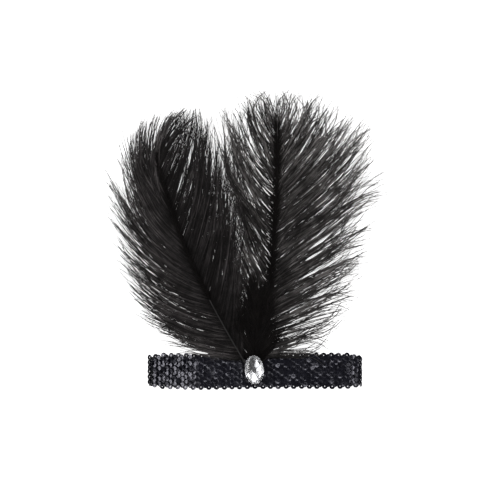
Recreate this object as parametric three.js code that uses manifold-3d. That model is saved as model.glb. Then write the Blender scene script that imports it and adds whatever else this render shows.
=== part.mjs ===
// A flapper headband laid on its back: a stretch sequin band folded flat, three dyed ostrich plumes
// that fan out from behind an oval faceted stone, and the pad that joins plumes, stone and band.
// Millimetres. +X runs along the folded band, +Y from the band to the plume tips, and +Z up from the
// surface that it lies on. The origin is under the middle of the band, on that surface.
import * as THREE from "three";
import { mergeVertices } from "three/addons/utils/BufferGeometryUtils.js";
import { ConvexGeometry } from "three/addons/geometries/ConvexGeometry.js";
import Module from "manifold-3d";

const wasm = await Module();
wasm.setup();

// Stretch band
const bandLength = 221; // folded flat, end to end
const trimHeight = 36.5; // across the scalloped edges
const elasticHeight = 28;
const elasticWall = 1.2;
const hollowGap = 8; // between the two runs of the elastic, where the head goes
const sequinLayer = 2.6; // how far the overlapping sequins stand off the elastic
const sequinDiameter = 6;
const columnPitch = 4; // from one column of sequins to the next
const fitGap = 0.3; // between pieces that touch

// Stone and pad
const stoneWidth = 20;
const stoneHeight = 30;
const stoneBack = 3; // depth of the faceted back, below the rim
const stoneGirdle = 1; // height of the straight rim
const stoneCrown = 3.4; // height of the faceted front, above the rim
const stoneTable = 0.66; // width of the flat table, as a share of the stone's
const stoneShoulder = { width: 0.87, height: 0.62 }; // where kite and girdle facets meet, as shares
const stoneCulet = 0.36; // width of the flat that ends the back, as a share of the stone's
const stoneFacets = 16; // round the girdle
const stoneTurn = 4; // degrees that the stone leans to the left
const stoneShift = { x: -1, y: 2.6 }; // from the middle of the band
const padWidth = 15;
const padHeight = 20;
const padDepth = 3;

// Plumes
const plumeHeight = 270; // the plumes' lengths are given as shares of it
const loftHeight = 30; // and their heights above the surface as shares of this
const quillRadius = 1;
const quillTipRadius = 0.5;
const quillSides = 6;
const quillSteps = 14;
const quillHandle = 0.35; // how far its curve runs on from each end, as a share of its length
const buttY = 1; // where the quills end on the band
const lastLock = 0.985; // no lock grows nearer the quill's tip than this share of it
const droop = 1.4; // how late along its length a lock drops to its tip: 1 is a straight slope

const degrees = THREE.MathUtils.degToRad;

// Each shingle is one column of sequins seen from the end of the band: a low leading edge, then a flat
// back that stands clear of the next column. Scallop is how much of its edge bump shows there.
const shingle = [
  { at: 0, stand: 0.5, scallop: 0.35 },
  { at: 0.4, stand: 1, scallop: 1 },
  { at: 0.88, stand: 1, scallop: 0.35 },
];

// How a lock narrows and thins from its root to its pointed tip.
const lockTaper = [
  { along: 0, width: 0.7, depth: 0.8 },
  { along: 0.3, width: 1, depth: 1 },
  { along: 0.76, width: 0.85, depth: 0.6 },
];

// Long and short locks take turns, as they do along a real vane.
const lockRagged = [1, 0.92, 1.03, 0.96];

// Lengths are shares of the plume height and heights shares of the loft height; butt is how far from
// the stone's middle a quill ends, as a share of the stone's width. In each vane's table, along is the
// share of the quill where a lock grows, reach its length as a share of the vane's own reach, sweep
// the angle off the quill at the root, curl how far the lock turns back, tip the height of its tip,
// and depth its share of the plume's lock depth.
const plumes = [
  {
    name: "plume_left",
    length: 0.9,
    lean: 23.4,
    rootLean: 31,
    tipLean: 12,
    butt: -0.27,
    handleHeights: [0.733, 0.967],
    tipHeight: 0.6,
    lockWidth: 0.063,
    lockDepth: 0.0222,
    vanes: [
      {
        side: 1,
        locks: 17,
        reach: 0.43,
        rows: [
          { along: 0.08, reach: 0.64, sweep: 58, curl: 16, tip: 0.583, depth: 0.45 },
          { along: 0.12, reach: 0.9, sweep: 58, curl: 28, tip: 0.4, depth: 0.7 },
          { along: 0.18, reach: 1.07, sweep: 57, curl: 40, tip: 0.2, depth: 0.9 },
          { along: 0.25, reach: 1.1, sweep: 54, curl: 46, tip: 0.083, depth: 1 },
          { along: 0.33, reach: 1.08, sweep: 50, curl: 48, tip: 0.067, depth: 1 },
          { along: 0.42, reach: 1.12, sweep: 46, curl: 46, tip: 0.06, depth: 1 },
          { along: 0.5, reach: 1.18, sweep: 41, curl: 44, tip: 0.053, depth: 1 },
          { along: 0.58, reach: 1.15, sweep: 35, curl: 42, tip: 0.053, depth: 1 },
          { along: 0.67, reach: 1.07, sweep: 25, curl: 36, tip: 0.06, depth: 1 },
          { along: 0.78, reach: 0.87, sweep: 10, curl: 26, tip: 0.1, depth: 1 },
          { along: 0.9, reach: 0.62, sweep: -10, curl: 8, tip: 0.2, depth: 0.9 },
          { along: 0.97, reach: 0.52, sweep: -44, curl: -18, tip: 0.3, depth: 0.8 },
        ],
      },
      {
        side: -1,
        locks: 14,
        reach: 0.415,
        rows: [
          { along: 0.09, reach: 0.6, sweep: 32, curl: 4, tip: 0.667, depth: 0.5 },
          { along: 0.18, reach: 1, sweep: 39, curl: 10, tip: 0.7, depth: 0.6 },
          { along: 0.28, reach: 1.2, sweep: 43, curl: 16, tip: 0.667, depth: 0.8 },
          { along: 0.38, reach: 1.24, sweep: 43, curl: 20, tip: 0.633, depth: 0.9 },
          { along: 0.5, reach: 1.2, sweep: 43, curl: 22, tip: 0.567, depth: 1 },
          { along: 0.62, reach: 1.13, sweep: 41, curl: 20, tip: 0.467, depth: 1 },
          { along: 0.75, reach: 0.97, sweep: 40, curl: 14, tip: 0.367, depth: 1 },
          { along: 0.88, reach: 0.72, sweep: 40, curl: 4, tip: 0.3, depth: 0.9 },
          { along: 0.97, reach: 0.53, sweep: 40, curl: -6, tip: 0.3, depth: 0.8 },
        ],
      },
    ],
  },
  {
    name: "plume_right",
    length: 0.948,
    lean: -4.2,
    rootLean: -8,
    tipLean: 0,
    butt: 0.22,
    handleHeights: [0.467, 0.3],
    tipHeight: 0.233,
    lockWidth: 0.063,
    lockDepth: 0.0222,
    vanes: [
      {
        side: -1,
        locks: 18,
        reach: 0.47,
        rows: [
          { along: 0.08, reach: 0.55, sweep: 74, curl: 4, tip: 0.527, depth: 0.45 },
          { along: 0.12, reach: 0.8, sweep: 65, curl: 0, tip: 0.267, depth: 0.7 },
          { along: 0.18, reach: 0.87, sweep: 59, curl: -2, tip: 0.1, depth: 0.9 },
          { along: 0.25, reach: 0.92, sweep: 56, curl: -2, tip: 0.053, depth: 1 },
          { along: 0.34, reach: 1.03, sweep: 54, curl: -3, tip: 0.05, depth: 1 },
          { along: 0.43, reach: 1.17, sweep: 52, curl: -5, tip: 0.05, depth: 1 },
          { along: 0.5, reach: 1.19, sweep: 49, curl: -6, tip: 0.05, depth: 1 },
          { along: 0.56, reach: 1.18, sweep: 46, curl: -6, tip: 0.05, depth: 1 },
          { along: 0.64, reach: 1.1, sweep: 42, curl: -4, tip: 0.05, depth: 1 },
          { along: 0.72, reach: 0.96, sweep: 38, curl: 0, tip: 0.053, depth: 1 },
          { along: 0.8, reach: 0.78, sweep: 33, curl: 2, tip: 0.053, depth: 1 },
          { along: 0.91, reach: 0.5, sweep: 22, curl: 2, tip: 0.087, depth: 0.9 },
          { along: 1, reach: 0.27, sweep: 8, curl: 2, tip: 0.133, depth: 0.8 },
        ],
      },
      {
        side: 1,
        locks: 14,
        reach: 0.359,
        rows: [
          { along: 0.12, reach: 0.79, sweep: 34, curl: 18, tip: 0.2, depth: 0.6 },
          { along: 0.22, reach: 1, sweep: 38, curl: 22, tip: 0.167, depth: 0.9 },
          { along: 0.34, reach: 1.22, sweep: 42, curl: 34, tip: 0.133, depth: 1 },
          { along: 0.46, reach: 1.28, sweep: 46, curl: 42, tip: 0.107, depth: 1 },
          { along: 0.58, reach: 1.18, sweep: 50, curl: 48, tip: 0.087, depth: 1 },
          { along: 0.7, reach: 1.04, sweep: 54, curl: 50, tip: 0.073, depth: 1 },
          { along: 0.81, reach: 0.87, sweep: 52, curl: 44, tip: 0.073, depth: 1 },
          { along: 0.91, reach: 0.61, sweep: 42, curl: 30, tip: 0.1, depth: 0.9 },
          { along: 1, reach: 0.34, sweep: 14, curl: 8, tip: 0.133, depth: 0.8 },
        ],
      },
    ],
  },
  {
    name: "plume_front",
    length: 0.281,
    lean: -2,
    rootLean: 0,
    tipLean: -4,
    butt: -0.025,
    handleHeights: [0.553, 0.867],
    tipHeight: 1.067,
    lockWidth: 0.044,
    lockDepth: 0.0148,
    vanes: [
      {
        side: 1,
        locks: 6,
        reach: 0.215,
        rows: [
          { along: 0.3, reach: 0.95, sweep: 30, curl: 20, tip: 1.033, depth: 0.6 },
          { along: 0.6, reach: 0.9, sweep: 26, curl: 16, tip: 1.067, depth: 1 },
          { along: 1, reach: 0.5, sweep: 8, curl: 4, tip: 1.067, depth: 0.9 },
        ],
      },
      {
        side: -1,
        locks: 6,
        reach: 0.215,
        rows: [
          { along: 0.32, reach: 0.92, sweep: 30, curl: 16, tip: 1.033, depth: 0.6 },
          { along: 0.6, reach: 0.85, sweep: 24, curl: 12, tip: 1.067, depth: 1 },
          { along: 0.95, reach: 0.5, sweep: 12, curl: 4, tip: 1.067, depth: 0.9 },
        ],
      },
    ],
  },
];

// Sizes that follow from the ones above
const elasticInner = hollowGap / 2; // radius of the elastic's inner face at the folds
const elasticOuter = elasticInner + elasticWall;
const trimInner = elasticOuter + fitGap;
const foldRadius = trimInner + sequinLayer;
const halfRun = bandLength / 2 - foldRadius; // half of one straight run
const trimTop = 2 * foldRadius;
const padBottom = trimTop + fitGap;
const quillHeight = padBottom + padDepth / 2;
const stoneBottom = padBottom + padDepth + fitGap;

const finish = {
  elastic: new THREE.MeshStandardMaterial({ color: 0x131315, roughness: 0.9 }),
  sequins: new THREE.MeshStandardMaterial({ color: 0x17171b, roughness: 0.22 }),
  feather: new THREE.MeshStandardMaterial({ color: 0x0d0c0d, roughness: 0.65 }),
  stone: new THREE.MeshStandardMaterial({ color: 0xe9ebf0, roughness: 0.05, metalness: 0.6 }),
  pad: new THREE.MeshStandardMaterial({ color: 0x101012, roughness: 0.95 }),
};

// A closed geometry as a solid that can be joined and cut.
function toSolid(geometry) {
  const bare = geometry.index ? geometry.toNonIndexed() : geometry.clone();
  bare.deleteAttribute("normal");
  bare.deleteAttribute("uv");
  const merged = mergeVertices(bare, 1e-4);
  return new wasm.Manifold(
    new wasm.Mesh({
      numProp: 3,
      vertProperties: merged.attributes.position.array,
      triVerts: new Uint32Array(merged.index.array),
    }),
  );
}

function toGeometry(solid) {
  const mesh = solid.getMesh();
  const geometry = new THREE.BufferGeometry();
  geometry.setAttribute("position", new THREE.BufferAttribute(mesh.vertProperties, 3));
  geometry.setIndex(new THREE.BufferAttribute(mesh.triVerts, 1));
  geometry.computeVertexNormals();
  return geometry;
}

function piece(name, geometry, material) {
  const mesh = new THREE.Mesh(geometry, material);
  mesh.name = name;
  return mesh;
}

// Skins a row of sections, each a list of as many points, into one closed body. With a ring, the last
// section joins the first; otherwise the first is capped and the last closes on the given apex.
function skin(sections, apex) {
  const sides = sections[0].length;
  const points = sections.flat();
  const faces = [];
  const spans = apex ? sections.length - 1 : sections.length;
  for (let i = 0; i < spans; i++) {
    const here = i * sides;
    const next = ((i + 1) % sections.length) * sides;
    for (let k = 0; k < sides; k++) {
      const after = (k + 1) % sides;
      faces.push(here + k, here + after, next + k, here + after, next + after, next + k);
    }
  }
  if (apex) {
    const end = (sections.length - 1) * sides;
    for (let k = 2; k < sides; k++) faces.push(0, k, k - 1);
    for (let k = 0; k < sides; k++) faces.push(end + k, end + ((k + 1) % sides), points.length);
    points.push(apex);
  }
  const geometry = new THREE.BufferGeometry().setFromPoints(points);
  geometry.setIndex(faces);
  return geometry;
}

// Where the folded loop is, a given way round from the middle of its back run, as the centre that
// the wall turns about and the direction out of the loop.
function loopAt(distance, radius) {
  const arc = Math.PI * radius;
  const around = 4 * halfRun + 2 * arc;
  let left = ((distance % around) + around) % around;
  if (left < halfRun) return { centre: left, out: -Math.PI / 2 };
  left -= halfRun;
  if (left < arc) return { centre: halfRun, out: -Math.PI / 2 + left / radius };
  left -= arc;
  if (left < 2 * halfRun) return { centre: halfRun - left, out: Math.PI / 2 };
  left -= 2 * halfRun;
  if (left < arc) return { centre: -halfRun, out: Math.PI / 2 + left / radius };
  return { centre: -halfRun + left - arc, out: -Math.PI / 2 };
}

// The woven elastic: a flattened loop of even wall, standing on edge along Y.
function elasticBand() {
  const outline = (path, radius) =>
    path
      .moveTo(-halfRun, -radius)
      .lineTo(halfRun, -radius)
      .absarc(halfRun, 0, radius, -Math.PI / 2, Math.PI / 2)
      .lineTo(-halfRun, radius)
      .absarc(-halfRun, 0, radius, Math.PI / 2, (3 * Math.PI) / 2);
  const wall = outline(new THREE.Shape(), elasticOuter);
  wall.holes.push(outline(new THREE.Path(), elasticInner));
  const geometry = new THREE.ExtrudeGeometry(wall, {
    depth: elasticHeight,
    bevelEnabled: false,
    curveSegments: 10,
  });
  geometry.translate(0, 0, -elasticHeight / 2);
  geometry.rotateX(Math.PI / 2);
  geometry.translate(0, 0, foldRadius);
  return piece("elastic_band", geometry, finish.elastic);
}

// The field of sequins: columns that overlap like shingles all the way round the elastic. Every
// other column is set half a sequin lower, so the scallops of the two edges take turns.
function sequinTrim() {
  const middle = foldRadius - sequinLayer / 2;
  const around = 4 * halfRun + 2 * Math.PI * middle;
  const columns = 2 * Math.round(around / (2 * columnPitch));
  const pitch = around / columns;
  const fullHalf = trimHeight / 2;
  const staggerHalf = fullHalf - sequinDiameter / 2;
  const sections = [];
  for (let column = 0; column < columns; column++) {
    for (const { at, stand, scallop } of shingle) {
      const { centre, out } = loopAt((column - 0.5 + at) * pitch, middle);
      const outer = trimInner + stand * sequinLayer;
      const bump = THREE.MathUtils.lerp(staggerHalf, fullHalf, scallop);
      const top = column % 2 ? staggerHalf : bump;
      const bottom = column % 2 ? -bump : -staggerHalf;
      const point = (radius, y) =>
        new THREE.Vector3(
          centre + radius * Math.cos(out),
          y,
          foldRadius + radius * Math.sin(out),
        );
      sections.push([
        point(trimInner, top),
        point(trimInner, bottom),
        point(outer, bottom),
        point(outer, top),
      ]);
    }
  }
  return piece("sequin_trim", skin(sections), finish.sequins);
}

// The oval stone: a faceted back that ends in a small flat, a straight girdle, and a crown of star,
// kite and girdle facets round a flat table. Its corners are convex, so their hull is the cut.
function stone() {
  const rim = stoneBack + stoneGirdle;
  const rings = [
    { width: stoneCulet, height: 0, turn: 0, corners: stoneFacets / 2 },
    { width: 1, height: stoneBack, turn: 0, corners: stoneFacets },
    { width: 1, height: rim, turn: 0, corners: stoneFacets },
    {
      width: stoneShoulder.width,
      height: rim + stoneShoulder.height * stoneCrown,
      turn: 0.5,
      corners: stoneFacets / 2,
    },
    { width: stoneTable, height: rim + stoneCrown, turn: 0, corners: stoneFacets / 2 },
  ];
  const corners = rings.flatMap(({ width, height, turn, corners: count }) =>
    Array.from({ length: count }, (_, k) => {
      const angle = ((k + turn) / count) * 2 * Math.PI;
      return new THREE.Vector3(
        (width * stoneWidth * Math.cos(angle)) / 2,
        (width * stoneHeight * Math.sin(angle)) / 2,
        height,
      );
    }),
  );
  const mesh = piece("stone", new ConvexGeometry(corners), finish.stone);
  mesh.position.set(stoneShift.x, stoneShift.y, stoneBottom);
  mesh.rotation.z = degrees(stoneTurn);
  return mesh;
}

// A plume's quill, from its butt on the band to its tip. A lean is measured from +Y towards -X.
function quillCurve(plume) {
  const direction = (lean) =>
    new THREE.Vector3(-Math.sin(degrees(lean)), Math.cos(degrees(lean)), 0);
  const length = plume.length * plumeHeight;
  const handle = quillHandle * length;
  const butt = new THREE.Vector3(plume.butt * stoneWidth, buttY, 0);
  const tip = butt.clone().addScaledVector(direction(plume.lean), length);
  const first = butt.clone().addScaledVector(direction(plume.rootLean), handle);
  const second = tip.clone().addScaledVector(direction(plume.tipLean), -handle);
  butt.z = quillHeight;
  first.z = plume.handleHeights[0] * loftHeight;
  second.z = plume.handleHeights[1] * loftHeight;
  tip.z = plume.tipHeight * loftHeight;
  return new THREE.CubicBezierCurve3(butt, first, second, tip);
}

// The quill itself, tapering to a point, with an extra radius where it is used to cut its seat.
function quill(plume, extra = 0) {
  const curve = quillCurve(plume);
  const up = new THREE.Vector3(0, 0, 1);
  const sections = [];
  for (let step = 0; step < quillSteps; step++) {
    const along = step / quillSteps;
    const centre = curve.getPointAt(along);
    const across = new THREE.Vector3().crossVectors(curve.getTangentAt(along), up).normalize();
    const radius = THREE.MathUtils.lerp(quillRadius, quillTipRadius, along) + extra;
    sections.push(
      Array.from({ length: quillSides }, (_, k) => {
        const angle = (k / quillSides) * 2 * Math.PI;
        return centre
          .clone()
          .addScaledVector(across, radius * Math.cos(angle))
          .addScaledVector(up, -radius * Math.sin(angle));
      }),
    );
  }
  return skin(sections, curve.getPointAt(1));
}

// The row of a vane's table at one share of the quill, worked out between its two neighbours.
function rowAt(rows, along) {
  const after = Math.max(1, rows.findIndex((row) => row.along >= along));
  const [low, high] = [rows[after - 1], rows[after]];
  const share = (along - low.along) / (high.along - low.along);
  const mix = (key) => THREE.MathUtils.lerp(low[key], high[key], share);
  return {
    reach: mix("reach"),
    sweep: mix("sweep"),
    curl: mix("curl"),
    tip: mix("tip"),
    depth: mix("depth"),
  };
}

// One lock of barbs: a flat blade that leaves the quill at its sweep and turns back by its curl.
function lock(plume, vane, along, ragged) {
  const row = rowAt(vane.rows, along);
  const curve = quillCurve(plume);
  const root = curve.getPointAt(along);
  const tangent = curve.getTangentAt(along);
  const heading = Math.atan2(tangent.y, tangent.x) + vane.side * degrees(row.sweep);
  const turn = -vane.side * degrees(row.curl);
  const length = vane.reach * row.reach * ragged * plumeHeight;
  const pathAt = (share) => {
    const angle = heading + (turn * share) / 2; // an arc's chord heads halfway through its turn
    const half = (turn * share) / 2;
    const chord = length * share * (half ? Math.sin(half) / half : 1);
    return new THREE.Vector3(
      root.x + chord * Math.cos(angle),
      root.y + chord * Math.sin(angle),
      THREE.MathUtils.lerp(root.z, row.tip * loftHeight, share ** droop),
    );
  };
  const sections = lockTaper.map(({ along: share, width, depth }) => {
    const centre = pathAt(share);
    const angle = heading + turn * share;
    const across = new THREE.Vector3(-Math.sin(angle), Math.cos(angle), 0);
    const halfWidth = (plume.lockWidth * plumeHeight * width * Math.min(1, ragged)) / 2;
    const halfDepth = (plume.lockDepth * plumeHeight * row.depth * depth) / 2;
    return [
      centre.clone().addScaledVector(across, halfWidth),
      centre.clone().setZ(centre.z + halfDepth),
      centre.clone().addScaledVector(across, -halfWidth),
      centre.clone().setZ(centre.z - halfDepth),
    ];
  });
  return skin(sections, pathAt(1));
}

// A whole plume: every lock of both vanes joined to the quill.
function plumeOf(plume) {
  let whole = toSolid(quill(plume));
  for (const vane of plume.vanes) {
    const first = vane.rows[0].along;
    const last = vane.rows[vane.rows.length - 1].along;
    for (let k = 0; k < vane.locks; k++) {
      const along = THREE.MathUtils.lerp(first, last, k / (vane.locks - 1));
      const ragged = lockRagged[k % lockRagged.length];
      whole = whole.add(toSolid(lock(plume, vane, Math.min(along, lastLock), ragged)));
    }
  }
  return piece(plume.name, toGeometry(whole), finish.feather);
}

// The pad behind the stone, with a tunnel for each quill that ends in it.
function stemPad() {
  const oval = new THREE.Shape().absellipse(0, 0, padWidth / 2, padHeight / 2, 0, 2 * Math.PI);
  const block = new THREE.ExtrudeGeometry(oval, {
    depth: padDepth,
    bevelEnabled: false,
    curveSegments: 20,
  });
  block.rotateZ(degrees(stoneTurn));
  block.translate(stoneShift.x, stoneShift.y, padBottom);
  const pad = plumes.reduce(
    (rest, plume) => rest.subtract(toSolid(quill(plume, fitGap))),
    toSolid(block),
  );
  return piece("stem_pad", toGeometry(pad), finish.pad);
}

const headband = new THREE.Group();
headband.add(elasticBand(), sequinTrim(), stemPad(), stone(), ...plumes.map(plumeOf));

export default headband;
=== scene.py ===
import logging
import math
from dataclasses import dataclass, field, replace
from enum import Enum

import bmesh
import bpy
import numpy as np
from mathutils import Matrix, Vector


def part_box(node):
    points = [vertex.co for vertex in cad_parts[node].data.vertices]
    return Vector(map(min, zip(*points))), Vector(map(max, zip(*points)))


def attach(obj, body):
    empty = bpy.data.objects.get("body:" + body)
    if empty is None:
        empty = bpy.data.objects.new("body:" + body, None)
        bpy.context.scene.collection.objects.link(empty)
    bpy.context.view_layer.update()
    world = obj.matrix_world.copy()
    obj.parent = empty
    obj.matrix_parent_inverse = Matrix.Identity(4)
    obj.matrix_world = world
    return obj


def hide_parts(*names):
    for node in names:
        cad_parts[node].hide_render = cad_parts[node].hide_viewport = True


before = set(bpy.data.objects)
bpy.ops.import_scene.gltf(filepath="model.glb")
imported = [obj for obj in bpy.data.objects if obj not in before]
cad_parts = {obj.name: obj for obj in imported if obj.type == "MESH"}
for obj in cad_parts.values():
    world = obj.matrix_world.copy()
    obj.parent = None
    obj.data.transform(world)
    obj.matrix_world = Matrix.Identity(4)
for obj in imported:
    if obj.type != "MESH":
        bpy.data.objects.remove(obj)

MM = 0.001
UP = np.array([0.0, 0.0, 1.0])
# Chance keeps within this many usual sizes, so that no strand leaves the part's box
SPREAD_LIMIT = 1.6
# Places of the two colours and the mixed one among a mix node's sockets
MIX_A = 6
MIX_B = 7
MIX_RESULT = 2
LOG = logging.getLogger("headband")


# Mesh helpers


@dataclass
class Bodies:
    """Many small closed bodies gathered into one mesh, in millimetres.

    Each vertex also carries how far along its strand it is and a random tone of its strand, both
    from 0 to 1, which the materials read.
    """

    points: list[np.ndarray] = field(default_factory=list)
    faces: list[np.ndarray] = field(default_factory=list)
    slots: list[np.ndarray] = field(default_factory=list)
    along: list[np.ndarray] = field(default_factory=list)
    tone: list[np.ndarray] = field(default_factory=list)
    count: int = 0

    def add(
        self,
        points: np.ndarray,
        faces: list[np.ndarray],
        along: np.ndarray | float = 0.0,
        tone: np.ndarray | float = 0.5,
        slot: int = 0,
    ) -> None:
        """Adds vertices and the faces between them.

        Args:
            points: Vertices, one row each.
            faces: Tables of vertex numbers, one face a row, counted from the first of these.
            along: Place along the strand, for each vertex or for all.
            tone: Random tone of the strand, for each vertex or for all.
            slot: Number of the material that the faces take.
        """
        n = len(points)
        self.points.append(points)
        for table in faces:
            self.faces.append(table + self.count)
            self.slots.append(np.full(len(table), slot, dtype=np.int32))
        self.along.append(np.broadcast_to(along, (n,)).astype(float))
        self.tone.append(np.broadcast_to(tone, (n,)).astype(float))
        self.count += n

    def build(
        self, name: str, materials: list[bpy.types.Material], smooth: bool
    ) -> bpy.types.Object:
        """Makes the mesh object.

        Args:
            name: Name of the object.
            materials: Its materials, in slot order.
            smooth: Whether the faces are shaded smooth.

        Returns:
            The object, linked to the scene.
        """
        points = np.concatenate(self.points) * MM
        totals = np.concatenate([np.full(len(f), f.shape[1]) for f in self.faces])
        loops = np.concatenate([f.ravel() for f in self.faces])
        mesh = bpy.data.meshes.new(name)
        mesh.vertices.add(len(points))
        mesh.vertices.foreach_set("co", points.ravel())
        mesh.loops.add(len(loops))
        mesh.loops.foreach_set("vertex_index", loops)
        mesh.polygons.add(len(totals))
        mesh.polygons.foreach_set("loop_start", np.cumsum(totals) - totals)
        mesh.polygons.foreach_set("material_index", np.concatenate(self.slots))
        mesh.update(calc_edges=True)
        mesh.polygons.foreach_set("use_smooth", np.full(len(totals), smooth))
        for key, values in (("along", self.along), ("tone", self.tone)):
            layer = mesh.attributes.new(key, "FLOAT", "POINT")
            layer.data.foreach_set("value", np.concatenate(values))
        for material in materials:
            mesh.materials.append(material)
        made = bpy.data.objects.new(name, mesh)
        bpy.context.scene.collection.objects.link(made)
        return made


def unit(vectors: np.ndarray) -> np.ndarray:
    """Returns the vectors scaled to length one."""
    return vectors / np.maximum(np.linalg.norm(vectors, axis=-1, keepdims=True), 1e-9)


def spread(rng: np.random.Generator, size: float, count: int) -> np.ndarray:
    """Draws numbers about zero.

    Args:
        rng: Source of chance.
        size: Their usual size.
        count: How many.

    Returns:
        Normal draws, held to within SPREAD_LIMIT times that size.
    """
    return size * np.clip(rng.normal(0, 1, count), -SPREAD_LIMIT, SPREAD_LIMIT)


def tubes(
    paths: np.ndarray,
    radii: np.ndarray,
    sides: int,
    flat: float = 1.0,
    roll: np.ndarray | float = 0.0,
) -> tuple[np.ndarray, list[np.ndarray]]:
    """Sweeps a small polygon along many paths at once.

    Args:
        paths: Points of each path, as path by point by axis.
        radii: Radius at each point, as path by point.
        sides: Number of sides of the section.
        flat: Thickness of the section as a share of its width.
        roll: How far the section is turned about the path, for each point or for all.

    Returns:
        The vertices, and the side faces and end caps.
    """
    count, steps = radii.shape
    tangent = unit(np.gradient(paths, axis=1))
    level = unit(np.cross(UP, tangent))
    square = np.cross(tangent, level)
    turn = np.broadcast_to(roll, radii.shape)[:, :, None]
    across = np.cos(turn) * level + np.sin(turn) * square
    upward = flat * (np.cos(turn) * square - np.sin(turn) * level)
    angle = np.arange(sides) * 2 * math.pi / sides
    ring = (
        np.cos(angle)[:, None] * across[:, :, None, :]
        + np.sin(angle)[:, None] * upward[:, :, None, :]
    )
    points = paths[:, :, None, :] + radii[:, :, None, None] * ring
    number = np.arange(count * steps * sides).reshape(count, steps, sides)
    here, after = number, np.roll(number, -1, axis=2)
    walls = np.stack([here[:, :-1], after[:, :-1], after[:, 1:], here[:, 1:]], axis=-1)
    starts, ends = number[:, 0, ::-1], number[:, -1]
    return points.reshape(-1, 3), [walls.reshape(-1, 4), np.concatenate([starts, ends])]


def needles(
    roots: np.ndarray, heads: np.ndarray, widths: np.ndarray
) -> tuple[np.ndarray, np.ndarray]:
    """Makes a thin three-sided spike from each root to each head.

    Args:
        roots: Where the spikes start.
        heads: Where they end in a point.
        widths: How wide each is at its root.

    Returns:
        The vertices, four a spike, and the faces.
    """
    line = unit(heads - roots)
    across = unit(np.cross(UP + 0.01, line))
    upward = np.cross(line, across)
    angle = np.arange(3) * 2 * math.pi / 3
    ring = (
        np.cos(angle)[:, None] * across[:, None, :]
        + np.sin(angle)[:, None] * upward[:, None, :]
    )
    base = roots[:, None, :] + widths[:, None, None] / 2 * ring
    points = np.concatenate([base, heads[:, None, :]], axis=1).reshape(-1, 3)
    first = 4 * np.arange(len(roots))[:, None, None]
    corners = np.array([[0, 2, 1], [0, 1, 3], [1, 2, 3], [2, 0, 3]])
    return points, (first + corners).reshape(-1, 3)


def skin(rings: np.ndarray, closed: bool) -> tuple[np.ndarray, list[np.ndarray]]:
    """Skins a row of rings into one body.

    Args:
        rings: Points of each ring, as ring by point by axis, right-handed about the way they go.
        closed: Whether the last ring joins the first; if not, both ends are capped.

    Returns:
        The vertices, and the wall faces and caps.
    """
    steps, sides = rings.shape[:2]
    number = np.arange(steps * sides).reshape(steps, sides)
    after = np.roll(number, -1, axis=1)
    walls = np.stack(
        [number, after, np.roll(after, -1, axis=0), np.roll(number, -1, axis=0)], axis=-1
    )
    if closed:
        return rings.reshape(-1, 3), [walls.reshape(-1, 4)]
    caps = np.stack([number[0, ::-1], number[-1]])
    return rings.reshape(-1, 3), [walls[:-1].reshape(-1, 4), caps]


# Materials


class Nodes:
    """A material or group tree with short ways to add and join nodes."""

    def __init__(self, tree: bpy.types.NodeTree) -> None:
        """Starts on an existing tree."""
        self.tree = tree

    def add(self, kind: str, **settings: object) -> bpy.types.Node:
        """Adds a node.

        Args:
            kind: The node's type name.
            settings: Its properties, and its inputs by name with spaces as underscores.

        Returns:
            The node.
        """
        node = self.tree.nodes.new(kind)
        for key, value in settings.items():
            if hasattr(node, key):
                setattr(node, key, value)
            else:
                node.inputs[key.replace("_", " ")].default_value = value
        return node

    def join(self, source: bpy.types.NodeSocket, target: bpy.types.NodeSocket) -> None:
        """Links one socket to another."""
        self.tree.links.new(source, target)

    def math(self, kind: str, first: object, second: object = 0.0) -> bpy.types.NodeSocket:
        """Adds a math node.

        Args:
            kind: The operation.
            first: A socket or a number.
            second: A socket or a number.

        Returns:
            The result's socket.
        """
        node = self.add("ShaderNodeMath", operation=kind)
        for place, value in enumerate((first, second)):
            if isinstance(value, bpy.types.NodeSocket):
                self.join(value, node.inputs[place])
            else:
                node.inputs[place].default_value = value
        return node.outputs[0]

    def ramp(
        self, source: bpy.types.NodeSocket, low: float, high: float, start: float, end: float
    ) -> bpy.types.NodeSocket:
        """Spreads a value from one range to another and holds it there.

        Args:
            source: The value.
            low: Where its range starts.
            high: Where its range ends.
            start: Result at the low end.
            end: Result at the high end.

        Returns:
            The result's socket.
        """
        node = self.add("ShaderNodeMapRange")
        self.join(source, node.inputs["Value"])
        for name, value in (
            ("From Min", low),
            ("From Max", high),
            ("To Min", start),
            ("To Max", end),
        ):
            node.inputs[name].default_value = value
        return node.outputs["Result"]

    def mix(
        self, share: bpy.types.NodeSocket, first: object, second: object
    ) -> bpy.types.NodeSocket:
        """Mixes two colours.

        Args:
            share: How much of the second.
            first: A colour or a socket.
            second: A colour or a socket.

        Returns:
            The mixed colour's socket.
        """
        node = self.add("ShaderNodeMix", data_type="RGBA")
        self.join(share, node.inputs["Factor"])
        for place, value in ((MIX_A, first), (MIX_B, second)):
            if isinstance(value, bpy.types.NodeSocket):
                self.join(value, node.inputs[place])
            else:
                node.inputs[place].default_value = (*value, 1.0)
        return node.outputs[MIX_RESULT]


class Effect(Enum):
    """The surface effects that several materials share."""

    STRAND = "strand_tone"
    WEAVE = "fine_weave"
    HANDLING = "handling_marks"


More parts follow.
